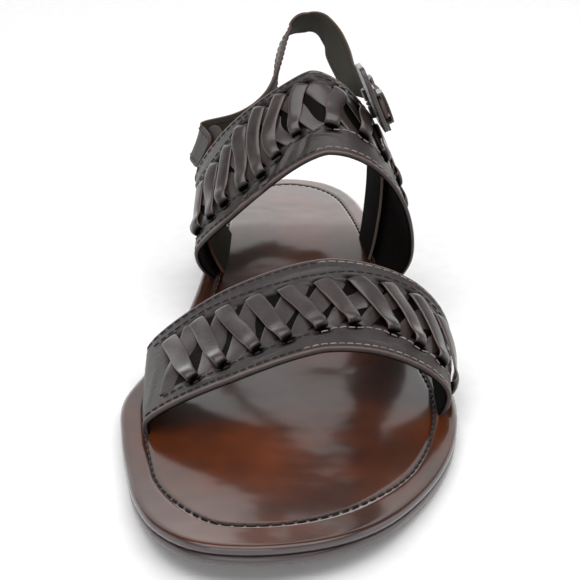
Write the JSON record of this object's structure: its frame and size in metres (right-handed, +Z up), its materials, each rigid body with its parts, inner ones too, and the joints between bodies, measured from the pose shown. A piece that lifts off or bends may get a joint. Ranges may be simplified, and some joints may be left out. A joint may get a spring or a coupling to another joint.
{
  "type": "woven leather sandal",
  "caption": "Flat leather sandal with a woven forefoot strap, a woven instep band and a buckled heel strap, for the left foot.",
  "frame": {"origin": "middle of the flat face under the heel, on the floor", "axes": "+Z up from the floor, toe towards -Y, lateral side of the foot towards +X"},
  "size_m": [0.1172, 0.3034, 0.1057],
  "materials": {
    "rubber_top_lift": "matt black rubber",
    "stacked_leather": "polished dark edge",
    "sole_leather": "polished dark edge",
    "footbed_leather": "burnished, high gloss",
    "woven_leather": "dark purplish brown, fine grain, half gloss",
    "lining_leather": "dark olive brown, rough",
    "strap_leather": "dark brown, half gloss",
    "buckle_metal": "dark aged, polished"
  },
  "bodies": {
    "root": {"top_lift": "rubber_top_lift", "heel_stack": "stacked_leather", "outsole": "sole_leather", "footbed": "footbed_leather", "front_strap": "woven_leather", "instep_band": "woven_leather", "medial_stay": "lining_leather", "lateral_stay": "lining_leather", "lateral_tab": "strap_leather", "heel_strap": "strap_leather", "keeper": "strap_leather", "buckle_frame": "buckle_metal", "buckle_prong": "buckle_metal"}
  },
  "joints": []
}
